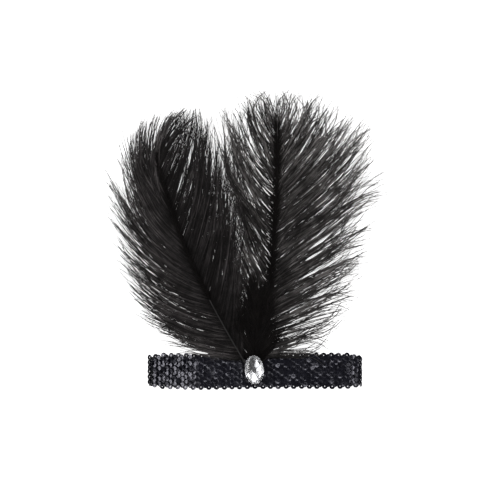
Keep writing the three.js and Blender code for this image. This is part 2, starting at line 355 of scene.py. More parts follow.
class EffectLibrary:
    """Builds each shared effect once, as a node group, and places it in materials."""

    def __init__(self) -> None:
        """Builds the groups."""
        self.groups = {
            Effect.STRAND: self._strand(),
            Effect.WEAVE: self._weave(),
            Effect.HANDLING: self._handling(),
        }

    def place(self, nodes: Nodes, effect: Effect, **values: object) -> bpy.types.Node:
        """Places an effect in a material.

        Args:
            nodes: The material's nodes.
            effect: Which effect.
            values: Its inputs by name, with spaces as underscores.

        Returns:
            The group's node.
        """
        node = nodes.add("ShaderNodeGroup")
        node.node_tree = self.groups[effect]
        for key, value in values.items():
            node.inputs[key.replace("_", " ")].default_value = value
        return node

    @staticmethod
    def _start(
        effect: Effect, inputs: dict[str, object], outputs: dict[str, str]
    ) -> tuple[Nodes, bpy.types.Node, bpy.types.Node]:
        """Starts a group.

        Args:
            effect: The effect it makes.
            inputs: Its inputs' names and defaults.
            outputs: Its outputs' names and socket kinds.

        Returns:
            The group's nodes, its input node and its output node.
        """
        tree = bpy.data.node_groups.new(effect.value, "ShaderNodeTree")
        for name, default in inputs.items():
            kind = "NodeSocketColor" if isinstance(default, tuple) else "NodeSocketFloat"
            socket = tree.interface.new_socket(name, in_out="INPUT", socket_type=kind)
            socket.default_value = default
        for name, kind in outputs.items():
            tree.interface.new_socket(name, in_out="OUTPUT", socket_type=kind)
        nodes = Nodes(tree)
        return nodes, nodes.add("NodeGroupInput"), nodes.add("NodeGroupOutput")

    def _strand(self) -> bpy.types.NodeTree:
        """Builds the colour of fine strands with painted sheen: a few strands, picked at random, are
        painted lighter in patches, and the tips are painted paler as light coming through.

        Returns:
            The group's node tree.
        """
        nodes, given, made = self._start(
            Effect.STRAND,
            {"Dark": (0.01, 0.01, 0.01, 1.0), "Light": (0.03, 0.03, 0.03, 1.0), "Tip": 0.3},
            {"Color": "NodeSocketColor", "Roughness": "NodeSocketFloat"},
        )
        tone = nodes.add("ShaderNodeAttribute", attribute_name="tone").outputs["Fac"]
        along = nodes.add("ShaderNodeAttribute", attribute_name="along").outputs["Fac"]
        place = nodes.add("ShaderNodeTexCoord").outputs["Object"]
        patch = nodes.add("ShaderNodeTexNoise", Scale=55.0, Detail=3.0)
        nodes.join(place, patch.inputs["Vector"])
        # Painted light coming through thin tips: paler towards the tips.
        tips = nodes.math("MULTIPLY", nodes.math("POWER", along, 2.0), given.outputs["Tip"])
        patches = nodes.ramp(patch.outputs["Fac"], 0.3, 0.7, 0.1, 1.0)
        grown = nodes.ramp(along, 0.0, 0.5, 0.25, 1.0)
        # Painted sheen: a few strands, picked by their random tone, lighter in patches.
        few = nodes.math("MULTIPLY", nodes.math("POWER", tone, 3.0), grown)
        share = nodes.math("ADD", nodes.math("MULTIPLY", few, patches), tips)
        colour = nodes.mix(share, given.outputs["Dark"], given.outputs["Light"])
        nodes.join(colour, made.inputs["Color"])
        nodes.join(nodes.ramp(tone, 0.0, 1.0, 0.75, 0.5), made.inputs["Roughness"])
        return nodes.tree

    def _weave(self) -> bpy.types.NodeTree:
        """Builds a fine woven height, and the painted shade between its threads and painted light on
        their tops.

        Returns:
            The group's node tree.
        """
        nodes, given, made = self._start(
            Effect.WEAVE,
            {"Threads": 900.0, "Fuzz": 0.3},
            {"Height": "NodeSocketFloat", "Shade": "NodeSocketFloat"},
        )
        place = nodes.add("ShaderNodeTexCoord").outputs["Object"]
        split = nodes.add("ShaderNodeSeparateXYZ")
        nodes.join(place, split.inputs[0])
        waves = [
            nodes.math("SINE", nodes.math("MULTIPLY", split.outputs[axis], given.outputs["Threads"]))
            for axis in ("X", "Y", "Z")
        ]
        weave = nodes.math("ADD", nodes.math("MULTIPLY", waves[0], waves[1]), waves[2])
        fuzz = nodes.add("ShaderNodeTexNoise", Scale=2500.0, Detail=4.0)
        nodes.join(place, fuzz.inputs["Vector"])
        rough = nodes.math("MULTIPLY", fuzz.outputs["Fac"], given.outputs["Fuzz"])
        height = nodes.math("ADD", nodes.math("MULTIPLY", weave, 0.3), rough)
        nodes.join(height, made.inputs["Height"])
        nodes.join(nodes.ramp(height, -0.4, 0.6, 0.0, 1.0), made.inputs["Shade"])
        return nodes.tree

    def _handling(self) -> bpy.types.NodeTree:
        """Builds the light dust, smears and hairline scratches of a handled glossy surface.

        Returns:
            The group's node tree.
        """
        nodes, given, made = self._start(
            Effect.HANDLING,
            {"Clean": 0.1, "Smeared": 0.3, "Dust": 0.5},
            {
                "Roughness": "NodeSocketFloat",
                "Dust Mask": "NodeSocketFloat",
                "Height": "NodeSocketFloat",
            },
        )
        place = nodes.add("ShaderNodeTexCoord").outputs["Object"]
        smear = nodes.add("ShaderNodeTexNoise", Scale=120.0, Detail=5.0, Roughness=0.6)
        specks = nodes.add("ShaderNodeTexNoise", Scale=1900.0, Detail=2.0)
        lines = nodes.add("ShaderNodeTexNoise", Scale=700.0, Detail=2.0, Distortion=2.0)
        for texture in (smear, specks, lines):
            nodes.join(place, texture.inputs["Vector"])
        amount = nodes.ramp(smear.outputs["Fac"], 0.42, 0.68, 0.0, 1.0)
        rough = nodes.math(
            "ADD",
            given.outputs["Clean"],
            nodes.math(
                "MULTIPLY",
                amount,
                nodes.math("SUBTRACT", given.outputs["Smeared"], given.outputs["Clean"]),
            ),
        )
        nodes.join(rough, made.inputs["Roughness"])
        dust = nodes.ramp(specks.outputs["Fac"], 0.66, 0.74, 0.0, 1.0)
        nodes.join(nodes.math("MULTIPLY", dust, given.outputs["Dust"]), made.inputs["Dust Mask"])
        nodes.join(nodes.ramp(lines.outputs["Fac"], 0.48, 0.52, 0.0, 1.0), made.inputs["Height"])
        return nodes.tree


Colour = tuple[float, float, float]


def bare_material(name: str) -> tuple[bpy.types.Material, Nodes, bpy.types.Node]:
    """Starts a material.

    Args:
        name: Its name.

    Returns:
        The material, its nodes and its Principled node.
    """
    material = bpy.data.materials.new(name)
    material.use_nodes = True
    nodes = Nodes(material.node_tree)
    return material, nodes, material.node_tree.nodes["Principled BSDF"]


def settle(shader: bpy.types.Node, values: dict[str, object]) -> None:
    """Sets plain values on a shader's own sockets."""
    for name, value in values.items():
        shader.inputs[name].default_value = value


@dataclass(frozen=True)
class FeatherFinish:
    """Dyed ostrich: near black, with painted sheen on a few strands and a little brown painted where
    light comes through, with a soft shine.
    """

    name: str
    dark: Colour
    # light is painted sheen and painted light coming through, not a paler dye; tip is how much of it
    # shows towards the tips.
    light: Colour
    tip: float = 0.35
    specular: float = 0.1

    def make(self, effects: EffectLibrary) -> bpy.types.Material:
        """Makes the material.

        Args:
            effects: The shared effects.

        Returns:
            The material.
        """
        material, nodes, shader = bare_material(self.name)
        tone = effects.place(
            nodes, Effect.STRAND, Dark=(*self.dark, 1.0), Light=(*self.light, 1.0), Tip=self.tip
        )
        nodes.join(tone.outputs["Color"], shader.inputs["Base Color"])
        nodes.join(tone.outputs["Roughness"], shader.inputs["Roughness"])
        settle(shader, {"Specular IOR Level": self.specular})
        return material


@dataclass(frozen=True)
class SequinFinish:
    """Black plastic sequins with a violet cast in the shine, a little dust and hairline marks."""

    name: str = "sequin_black"
    colour: Colour = (0.006, 0.006, 0.009)
    dust: Colour = (0.018, 0.018, 0.022)
    lighter: float = 1.5
    specular: float = 0.45
    cast: Colour = (0.88, 0.87, 1.0)
    coat: float = 0.12

    def make(self, effects: EffectLibrary) -> bpy.types.Material:
        """Makes the material.

        Args:
            effects: The shared effects.

        Returns:
            The material.
        """
        material, nodes, shader = bare_material(self.name)
        marks = effects.place(nodes, Effect.HANDLING, Clean=0.17, Smeared=0.3, Dust=0.6)
        tone = nodes.add("ShaderNodeAttribute", attribute_name="tone").outputs["Fac"]
        shade = nodes.mix(tone, self.colour, tuple(self.lighter * c for c in self.colour))
        dusty = nodes.mix(marks.outputs["Dust Mask"], shade, self.dust)
        bump = nodes.add("ShaderNodeBump", Strength=0.12, Distance=0.0001)
        nodes.join(marks.outputs["Height"], bump.inputs["Height"])
        nodes.join(dusty, shader.inputs["Base Color"])
        nodes.join(marks.outputs["Roughness"], shader.inputs["Roughness"])
        nodes.join(bump.outputs["Normal"], shader.inputs["Normal"])
        settle(
            shader,
            {
                "Specular IOR Level": self.specular,
                "Specular Tint": (*self.cast, 1.0),
                "Coat Weight": self.coat,
                "Coat Roughness": 0.1,
            },
        )
        return material


@dataclass(frozen=True)
class ClothFinish:
    """A matt black textile, woven or felted, with painted shade between its threads and painted light
    on their tops.
    """

    name: str
    colour: Colour
    thread_top_painted_light: Colour
    threads: float
    fuzz: float
    bump: float

    def make(self, effects: EffectLibrary) -> bpy.types.Material:
        """Makes the material.

        Args:
            effects: The shared effects.

        Returns:
            The material.
        """
        material, nodes, shader = bare_material(self.name)
        weave = effects.place(nodes, Effect.WEAVE, Threads=self.threads, Fuzz=self.fuzz)
        bump = nodes.add("ShaderNodeBump", Strength=self.bump, Distance=0.0003)
        # Painted shade between the threads and painted light on their raised tops, from the weave's
        # height.
        colour = nodes.mix(weave.outputs["Shade"], self.colour, self.thread_top_painted_light)
        nodes.join(colour, shader.inputs["Base Color"])
        nodes.join(weave.outputs["Height"], bump.inputs["Height"])
        nodes.join(bump.outputs["Normal"], shader.inputs["Normal"])
        nodes.join(nodes.ramp(weave.outputs["Shade"], 0.0, 1.0, 0.95, 0.8), shader.inputs["Roughness"])
        settle(shader, {"Specular IOR Level": 0.3, "Sheen Weight": 0.15, "Sheen Roughness": 0.4})
        return material


@dataclass(frozen=True)
class CrystalFinish:
    """Clear acrylic, with the faintest smears on its facets."""

    name: str = "stone_clear"
    colour: Colour = (0.97, 0.975, 0.99)
    ior: float = 1.52

    def make(self, effects: EffectLibrary) -> bpy.types.Material:
        """Makes the material.

        Args:
            effects: The shared effects.

        Returns:
            The material.
        """
        material, nodes, shader = bare_material(self.name)
        marks = effects.place(nodes, Effect.HANDLING, Clean=0.0, Smeared=0.03, Dust=0.2)
        nodes.join(marks.outputs["Roughness"], shader.inputs["Roughness"])
        settle(
            shader,
            {"Base Color": (*self.colour, 1.0), "IOR": self.ior, "Transmission Weight": 1.0},
        )
        return material


@dataclass(frozen=True)
class FoilFinish:
    """The silvering behind the stone, bright with fine mottling."""

    name: str = "stone_silvering"
    bright: Colour = (0.94, 0.94, 0.95)
    dull: Colour = (0.72, 0.72, 0.75)

    def make(self, effects: EffectLibrary) -> bpy.types.Material:
        """Makes the material.

        Args:
            effects: The shared effects.

        Returns:
            The material.
        """
        material, nodes, shader = bare_material(self.name)
        marks = effects.place(nodes, Effect.HANDLING, Clean=0.18, Smeared=0.32, Dust=0.8)
        colour = nodes.mix(marks.outputs["Dust Mask"], self.bright, self.dull)
        nodes.join(colour, shader.inputs["Base Color"])
        nodes.join(marks.outputs["Roughness"], shader.inputs["Roughness"])
        settle(shader, {"Metallic": 1.0})
        return material


# The band


@dataclass(frozen=True)
class FoldedLoop:
    """The flattened loop that elastic and sequins follow, from the middle of its back run."""

    length: float = 221.0
    hollow: float = 8.0
    wall: float = 1.2
    gap: float = 0.3
    layer: float = 2.6

    @property
    def fold(self) -> float:
        """Radius of the outermost face where the loop turns."""
        return self.hollow / 2 + self.wall + self.gap + self.layer

    @property
    def half_run(self) -> float:
        """Half of one straight run."""
        return self.length / 2 - self.fold

    def around(self, radius: float) -> float:
        """Length of the loop at a distance from the fold's centre."""
        return 4 * self.half_run + 2 * math.pi * radius

    def at(self, share: np.ndarray, radius: float) -> tuple[np.ndarray, np.ndarray]:
        """Finds places round the loop.

        Args:
            share: How far round, from 0 to 1.
            radius: Distance from the fold's centre at which the way round is measured.

        Returns:
            The X of the centre that the wall turns about, and the angle of the way out.
        """
        arc, run = math.pi * radius, self.half_run
        way = np.mod(share, 1.0) * self.around(radius)
        stops = np.cumsum([0, run, arc, 2 * run, arc, run])
        centre = np.interp(way, stops, [0, run, run, -run, -run, 0])
        out = np.interp(way, stops, np.array([-0.5, -0.5, 0.5, 0.5, 1.5, 1.5]) * math.pi)
        return centre, out


@dataclass
class ElasticBand:
    """The woven elastic: a flattened loop with ribs across it, standing on edge."""

    loop: FoldedLoop
    height: float = 28.0
    ribs: int = 210
    rib_depth: float = 0.16
    edge_wave: float = 0.25

    def build(self, finish: bpy.types.Material) -> bpy.types.Object:
        """Builds the elastic.

        Args:
            finish: Its material.

        Returns:
            The object.
        """
        inner = self.loop.hollow / 2
        middle = inner + self.loop.wall / 2
        steps = 2 * self.ribs
        share = np.arange(steps) / steps
        centre, out = self.loop.at(share, middle)
        rib = np.where(np.arange(steps) % 2, 0.0, 1.0)
        outer = inner + self.loop.wall - self.rib_depth * (1 - rib)
        inside = inner + self.rib_depth * (1 - rib)
        half = self.height / 2 + self.edge_wave * (rib - 0.5)
        corner = 0.35
        section = [
            (inside, half - corner),
            (inside, -half + corner),
            ((inside + outer) / 2, -half),
            (outer, -half + corner),
            (outer, half - corner),
            ((inside + outer) / 2, half),
        ]
        rings = np.stack(
            [
                np.stack(
                    [
                        centre + radius * np.cos(out),
                        np.broadcast_to(y, centre.shape),
                        self.loop.fold + radius * np.sin(out),
                    ],
                    axis=-1,
                )
                for radius, y in section
            ],
            axis=1,
        )
        bodies = Bodies()
        bodies.add(*skin(rings, closed=True))
        made = bodies.build("elastic_weave", [finish], smooth=False)
        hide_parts("elastic_band")
        return made


@dataclass
class SequinTrim:
    """The sequins: columns of shallow cups, shingled round the elastic and staggered by half.

    Sizes are in millimetres and angles in degrees. column_noise and stagger are shares of the
    step between columns and rows. tilts says how far the sequins tilt by place along the band.
    """

    loop: FoldedLoop
    height: float = 36.5
    diameter: float = 6.0
    columns: int = 114
    rows: int = 6
    sides: int = 10
    hole: float = 0.5
    dish: float = 1.75
    dish_depth: float = 0.2
    rim_width: float = 0.25
    rim_drop: float = 0.05
    sheet: float = 0.12
    stand_off: float = 0.35
    stagger: float = 0.25
    end_reach: float = 6.0
    pinch: float = 0.1
    sag: float = 0.9
    sag_place: float = -52.0
    sag_reach: float = 34.0
    lowest: float = 0.02
    column_noise: float = 0.05
    row_noise: float = 0.12
    lift_noise: float = 0.05
    column_tilt_noise: float = 3.2
    own_tilt_noise: float = 2.0
    lean_noise: float = 7.0
    seed: int = 11
    tilts: tuple[tuple[float, float], ...] = (
        (-102, 22),
        (-66, 22),
        (-57, 3),
        (88, 3),
        (98, 22),
    )

    def cup(self) -> tuple[np.ndarray, list[np.ndarray]]:
        """Makes one sequin, facing +Z.

        Returns:
            Its vertices and its faces.
        """
        angle = np.arange(self.sides) * 2 * math.pi / self.sides
        rim = self.diameter / 2
        profile = [
            (self.hole, -self.dish_depth),
            (self.dish, -self.dish_depth),
            (rim - self.rim_width, -self.rim_drop),
            (rim, 0.0),
            (rim, -self.sheet),
            (self.dish, -self.dish_depth - self.sheet),
            (self.hole, -self.dish_depth - self.sheet),
        ]
        rings = np.array(
            [
                np.stack(
                    [radius * np.cos(angle), radius * np.sin(angle), np.full(self.sides, height)],
                    axis=-1,
                )
                for radius, height in profile
            ]
        )
        number = np.arange(len(profile) * self.sides).reshape(len(profile), self.sides)
        after = np.roll(number, -1, axis=1)
        walls = np.stack(
            [number, np.roll(number, -1, axis=0), np.roll(after, -1, axis=0), after], axis=-1
        )
        return rings.reshape(-1, 3), [walls.reshape(-1, 4)]

    def build(self, finish: bpy.types.Material) -> bpy.types.Object:
        """Builds all the sequins as one joined mesh.

        Args:
            finish: Their material.

        Returns:
            The object.
        """
        rng = np.random.default_rng(self.seed)
        cup, faces = self.cup()
        inner = self.loop.fold - self.loop.layer
        middle = inner + self.loop.layer / 2
        column, row = (
            a.ravel() for a in np.meshgrid(np.arange(self.columns), np.arange(self.rows))
        )
        count = len(column)
        share = (column + rng.normal(0, self.column_noise, count)) / self.columns
        centre, out = self.loop.at(share, middle)
        step = (self.height - self.diameter) / (self.rows - 0.5)
        shift = np.where(column % 2, -self.stagger, self.stagger)
        y = (row - (self.rows - 1) / 2) * step + shift * step
        y += rng.normal(0, self.row_noise, count)
        past = np.abs(centre) - self.loop.half_run + self.end_reach
        end = np.clip(past / self.end_reach, 0, 1)
        y *= 1 - self.pinch * end
        y -= self.sag * np.exp(-(((centre - self.sag_place) / self.sag_reach) ** 2))
        places, angles = zip(*self.tilts)
        column_tilt = rng.normal(0, self.column_tilt_noise, self.columns)[column]
        tilt = np.interp(centre, places, angles) + column_tilt
        tilt = np.radians(tilt + rng.normal(0, self.own_tilt_noise, count))
        lean = np.radians(rng.normal(0, self.lean_noise, count))
        outward = np.stack([np.cos(out), 0 * out, np.sin(out)], axis=-1)
        onward = np.stack([-np.sin(out), 0 * out, np.cos(out)], axis=-1)
        across = np.broadcast_to([0.0, 1.0, 0.0], outward.shape)
        normal = unit(
            outward * np.cos(tilt)[:, None]
            + onward * np.sin(tilt)[:, None]
            + across * np.sin(lean)[:, None]
        )
        side = unit(np.cross(across, normal))
        front = np.cross(normal, side)
        lift = middle + self.stand_off + rng.normal(0, self.lift_noise, count)
        place = np.stack(
            [centre + lift * np.cos(out), y, self.loop.fold + lift * np.sin(out)], axis=-1
        )
        points = (
            place[:, None, :]
            + cup[None, :, 0:1] * side[:, None, :]
            + cup[None, :, 1:2] * front[:, None, :]
            + cup[None, :, 2:3] * normal[:, None, :]
        )
        points[:, :, 2] = np.maximum(points[:, :, 2], self.lowest)
        first = len(cup) * np.arange(count)[:, None, None]
        bodies = Bodies()
        bodies.add(
            points.reshape(-1, 3),
            [(first + faces[0]).reshape(-1, 4)],
            tone=np.repeat(rng.random(count), len(cup)),
        )
        made = bodies.build("sequins", [finish], smooth=False)
        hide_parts("sequin_trim")
        return made


# Stone and pad


@dataclass
class OvalStone:
    """The faceted oval, clear in front and silvered behind, standing where the CAD stone is."""

    width: float = 20.0
    height: float = 30.0
    back: float = 3.0
    girdle: float = 1.0
    crown: float = 3.4
    table: float = 0.66
    shoulder_width: float = 0.87
    shoulder_height: float = 0.62
    culet: float = 0.24
    back_width: float = 0.72
    back_rise: float = 0.35
    facets: int = 16
    turn: float = 4.0
    centre: tuple[float, float] = (-1.0, 2.6)

    def build(
        self, floor_z: float, crystal: bpy.types.Material, foil: bpy.types.Material
    ) -> bpy.types.Object:
        """Builds the stone.

        Args:
            floor_z: Height of the stone's back, in metres.
            crystal: Material of the crown and the rim.
            foil: Material of the silvered back.

        Returns:
            The object.
        """
        rim = self.back + self.girdle
        rings = [
            (self.culet, 0.0, 0.0, self.facets // 2),
            (self.back_width, self.back_rise * self.back, 0.5, self.facets // 2),
            (1.0, self.back, 0.0, self.facets),
            (1.0, rim, 0.0, self.facets),
            (self.shoulder_width, rim + self.shoulder_height * self.crown, 0.5, self.facets // 2),
            (self.table, rim + self.crown, 0.0, self.facets // 2),
        ]
        mesh = bpy.data.meshes.new("stone_cut")
        shell = bmesh.new()
        turn = math.radians(self.turn)
        for width, height, shift, corners in rings:
            for k in range(corners):
                angle = (k + shift) / corners * 2 * math.pi
                x = width * self.width / 2 * math.cos(angle)
                y = width * self.height / 2 * math.sin(angle)
                shell.verts.new(
                    (
                        (self.centre[0] + x * math.cos(turn) - y * math.sin(turn)) * MM,
                        (self.centre[1] + x * math.sin(turn) + y * math.cos(turn)) * MM,
                        floor_z + height * MM,
                    )
                )
        bmesh.ops.convex_hull(shell, input=shell.verts)
        bmesh.ops.dissolve_limit(
            shell, angle_limit=math.radians(0.5), verts=shell.verts, edges=shell.edges
        )
        bmesh.ops.recalc_face_normals(shell, faces=shell.faces)
        for face in shell.faces:
            face.material_index = 1 if face.normal.z < -0.05 else 0
        shell.to_mesh(mesh)
        shell.free()
        mesh.materials.append(crystal)
        mesh.materials.append(foil)
        made = bpy.data.objects.new("stone_cut", mesh)
        bpy.context.scene.collection.objects.link(made)
        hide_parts("stone")
        return made


@dataclass
class StemPad:
    """The felt pad behind the stone, with a soft rounded edge."""

    width: float = 15.0
    height: float = 20.0
    turn: float = 4.0
    centre: tuple[float, float] = (-1.0, 2.6)
    sides: int = 40

    def build(self, low: float, high: float, finish: bpy.types.Material) -> bpy.types.Object:
        """Builds the pad.

        Args:
            low: Height of its underside, in millimetres.
            high: Height of its top, in millimetres.
            finish: Its material.

        Returns:
            The object.
        """
        angle = np.arange(self.sides) * 2 * math.pi / self.sides
        turn = math.radians(self.turn)
        steps = [(0.9, 0.0), (0.98, 0.15), (1.0, 0.5), (0.98, 0.85), (0.9, 1.0)]
        rings = []
        for width, rise in steps:
            x = width * self.width / 2 * np.cos(angle)
            y = width * self.height / 2 * np.sin(angle)
            rings.append(
                np.stack(
                    [
                        self.centre[0] + x * math.cos(turn) - y * math.sin(turn),
                        self.centre[1] + x * math.sin(turn) + y * math.cos(turn),
                        np.full(self.sides, low + (high - low) * rise),
                    ],
                    axis=-1,
                )
            )
        bodies = Bodies()
        bodies.add(*skin(np.array(rings), closed=False))
        made = bodies.build("felt_pad", [finish], smooth=True)
        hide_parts("stem_pad")
        return made


# Plumes


class Side(Enum):
    """Which side of its quill a vane is on, as the sign of a turn from the quill to the barb."""

    LEFT = 1
    RIGHT = -1


@dataclass(frozen=True)
class Row:
    """One line of a vane's table.

    along is a share of the quill and reach a share of the vane's longest barb. sweep is the
    angle between quill and barb and curl how far the barb turns back, in degrees. tip_z is the
    height of its tip in millimetres, and fill how densely barbs grow there.
    """

    along: float
    reach: float
    sweep: float
    curl: float
    tip_z: float
    fill: float = 1.0


@dataclass(frozen=True)
class Growth:
    """How barbs gather into locks, wave and end, in millimetres and degrees.

    Each barb is a bundle of fibres that twist round it, since its down clings to it. gather says
    how far it is drawn to the middle of its lock, short how many barbs end early and ragged how
    much the others differ, and loose how many stay out of their lock, all as shares. hook is how
    far a tip turns aside beyond hook_from. The sizes named tuft are those of the locks that
    stand out.
    """

    barbs: int = 660
    fibres: int = 4
    locks: int = 34
    layers: int = 3
    segments: int = 8
    radius: float = 0.3
    tip_radius: float = 0.14
    flat: float = 0.35
    bundle: float = 0.75
    twist: float = 1.6
    gather: float = 0.25
    loose: float = 0.08
    loose_gather: float = 0.1
    uneven: float = 0.05
    turn_noise: float = 2.5
    own_turn: float = 2.4
    curl_noise: float = 6.0
    splay: float = 2.8
    wave: float = 2.6
    hook: float = 2.2
    hook_from: float = 0.7
    hook_over: float = 0.3
    crinkle: float = 0.5
    depth: float = 1.8
    short: float = 0.3
    short_ends: tuple[float, float] = (0.2, 0.75)
    ragged: float = 0.25
    tuft_ragged: float = 0.25
    tuft_root: float = 0.02
    tuft_turn: float = 4.0
    tuft_gather: float = 0.85
    down: int = 8500
    down_length: float = 6.0
    down_width: float = 0.26

    def bend(self, u: np.ndarray) -> np.ndarray:
        """Returns how much of a barb's hook shows at each share of its length."""
        return np.clip((u - self.hook_from) / self.hook_over, 0, 1) ** 2


class Shade(Enum):
    """How light the barbs of a vane look, from how much sheen and light coming through is painted into
    their colour: lit and shaded copies of one black feather.
    """

    LEAST_SHEEN = "deep"
    DARK = "dark"
    BLACK = "black"
    MOST_SHEEN = "greyed"


@dataclass(frozen=True)
class Tuft:
    """A lock that stands out from its vane.

    along is a share of the quill, reach the lock's length and tip_z the height of its tip in
    millimetres, sweep and curl its angle off the quill and how far it turns back, in degrees,
    and barbs how many it holds.
    """

    along: float
    reach: float
    sweep: float
    curl: float
    tip_z: float
    barbs: int


@dataclass(frozen=True)
class Vane:
    """One side of a plume."""

    name: str
    side: Side
    reach: float
    rows: tuple[Row, ...]
    tufts: tuple[Tuft, ...] = ()
    growth: Growth = Growth()
    shade: Shade = Shade.BLACK


@dataclass(frozen=True)
class Quill:
    """A plume's quill, a curve that leaves its butt and meets its tip at set leans.

    Leans are in degrees from the band's square, to the left; the rest is in millimetres. Beyond
    the share of it that is bare, short barbs cover it.
    """

    butt_x: float
    length: float
    lean: float
    root_lean: float
    tip_lean: float
    handle_z: tuple[float, float]
    tip_z: float
    bare: float = 0.0
    butt_y: float = 1.0
    butt_z: float = 18.0
    handle: float = 0.35
    radius: float = 0.95
    tip_radius: float = 0.3
    last: float = 0.985

    def curve(self) -> tuple[np.ndarray, np.ndarray]:
        """Draws the curve in small steps.

        Returns:
            Its points, and the share of its length at each.
        """

        def way(lean: float) -> np.ndarray:
            """Returns the flat direction of a lean."""
            return np.array([-math.sin(math.radians(lean)), math.cos(math.radians(lean)), 0.0])

        butt = np.array([self.butt_x, self.butt_y, self.butt_z])
        tip = butt + way(self.lean) * self.length
        first = butt + way(self.root_lean) * self.handle * self.length
        second = tip - way(self.tip_lean) * self.handle * self.length
        first[2], second[2], tip[2] = *self.handle_z, self.tip_z
        t = np.linspace(0, 1, 400)[:, None]
        line = (
            butt * (1 - t) ** 3
            + 3 * first * t * (1 - t) ** 2
            + 3 * second * t**2 * (1 - t)
            + tip * t**3
        )
        length = np.concatenate([[0], np.cumsum(np.linalg.norm(np.diff(line, axis=0), axis=1))])
        return line, length / length[-1]

    def at(self, share: np.ndarray) -> tuple[np.ndarray, np.ndarray]:
        """Finds places on the quill.

        Args:
            share: Shares of its length.

        Returns:
            The points and the directions there.
        """
        line, way = self.curve()
        tangent = unit(np.gradient(line, axis=0))
        points, directions = (
            np.stack([np.interp(share, way, table[:, axis]) for axis in range(3)], -1)
            for table in (line, tangent)
        )
        return points, unit(directions)


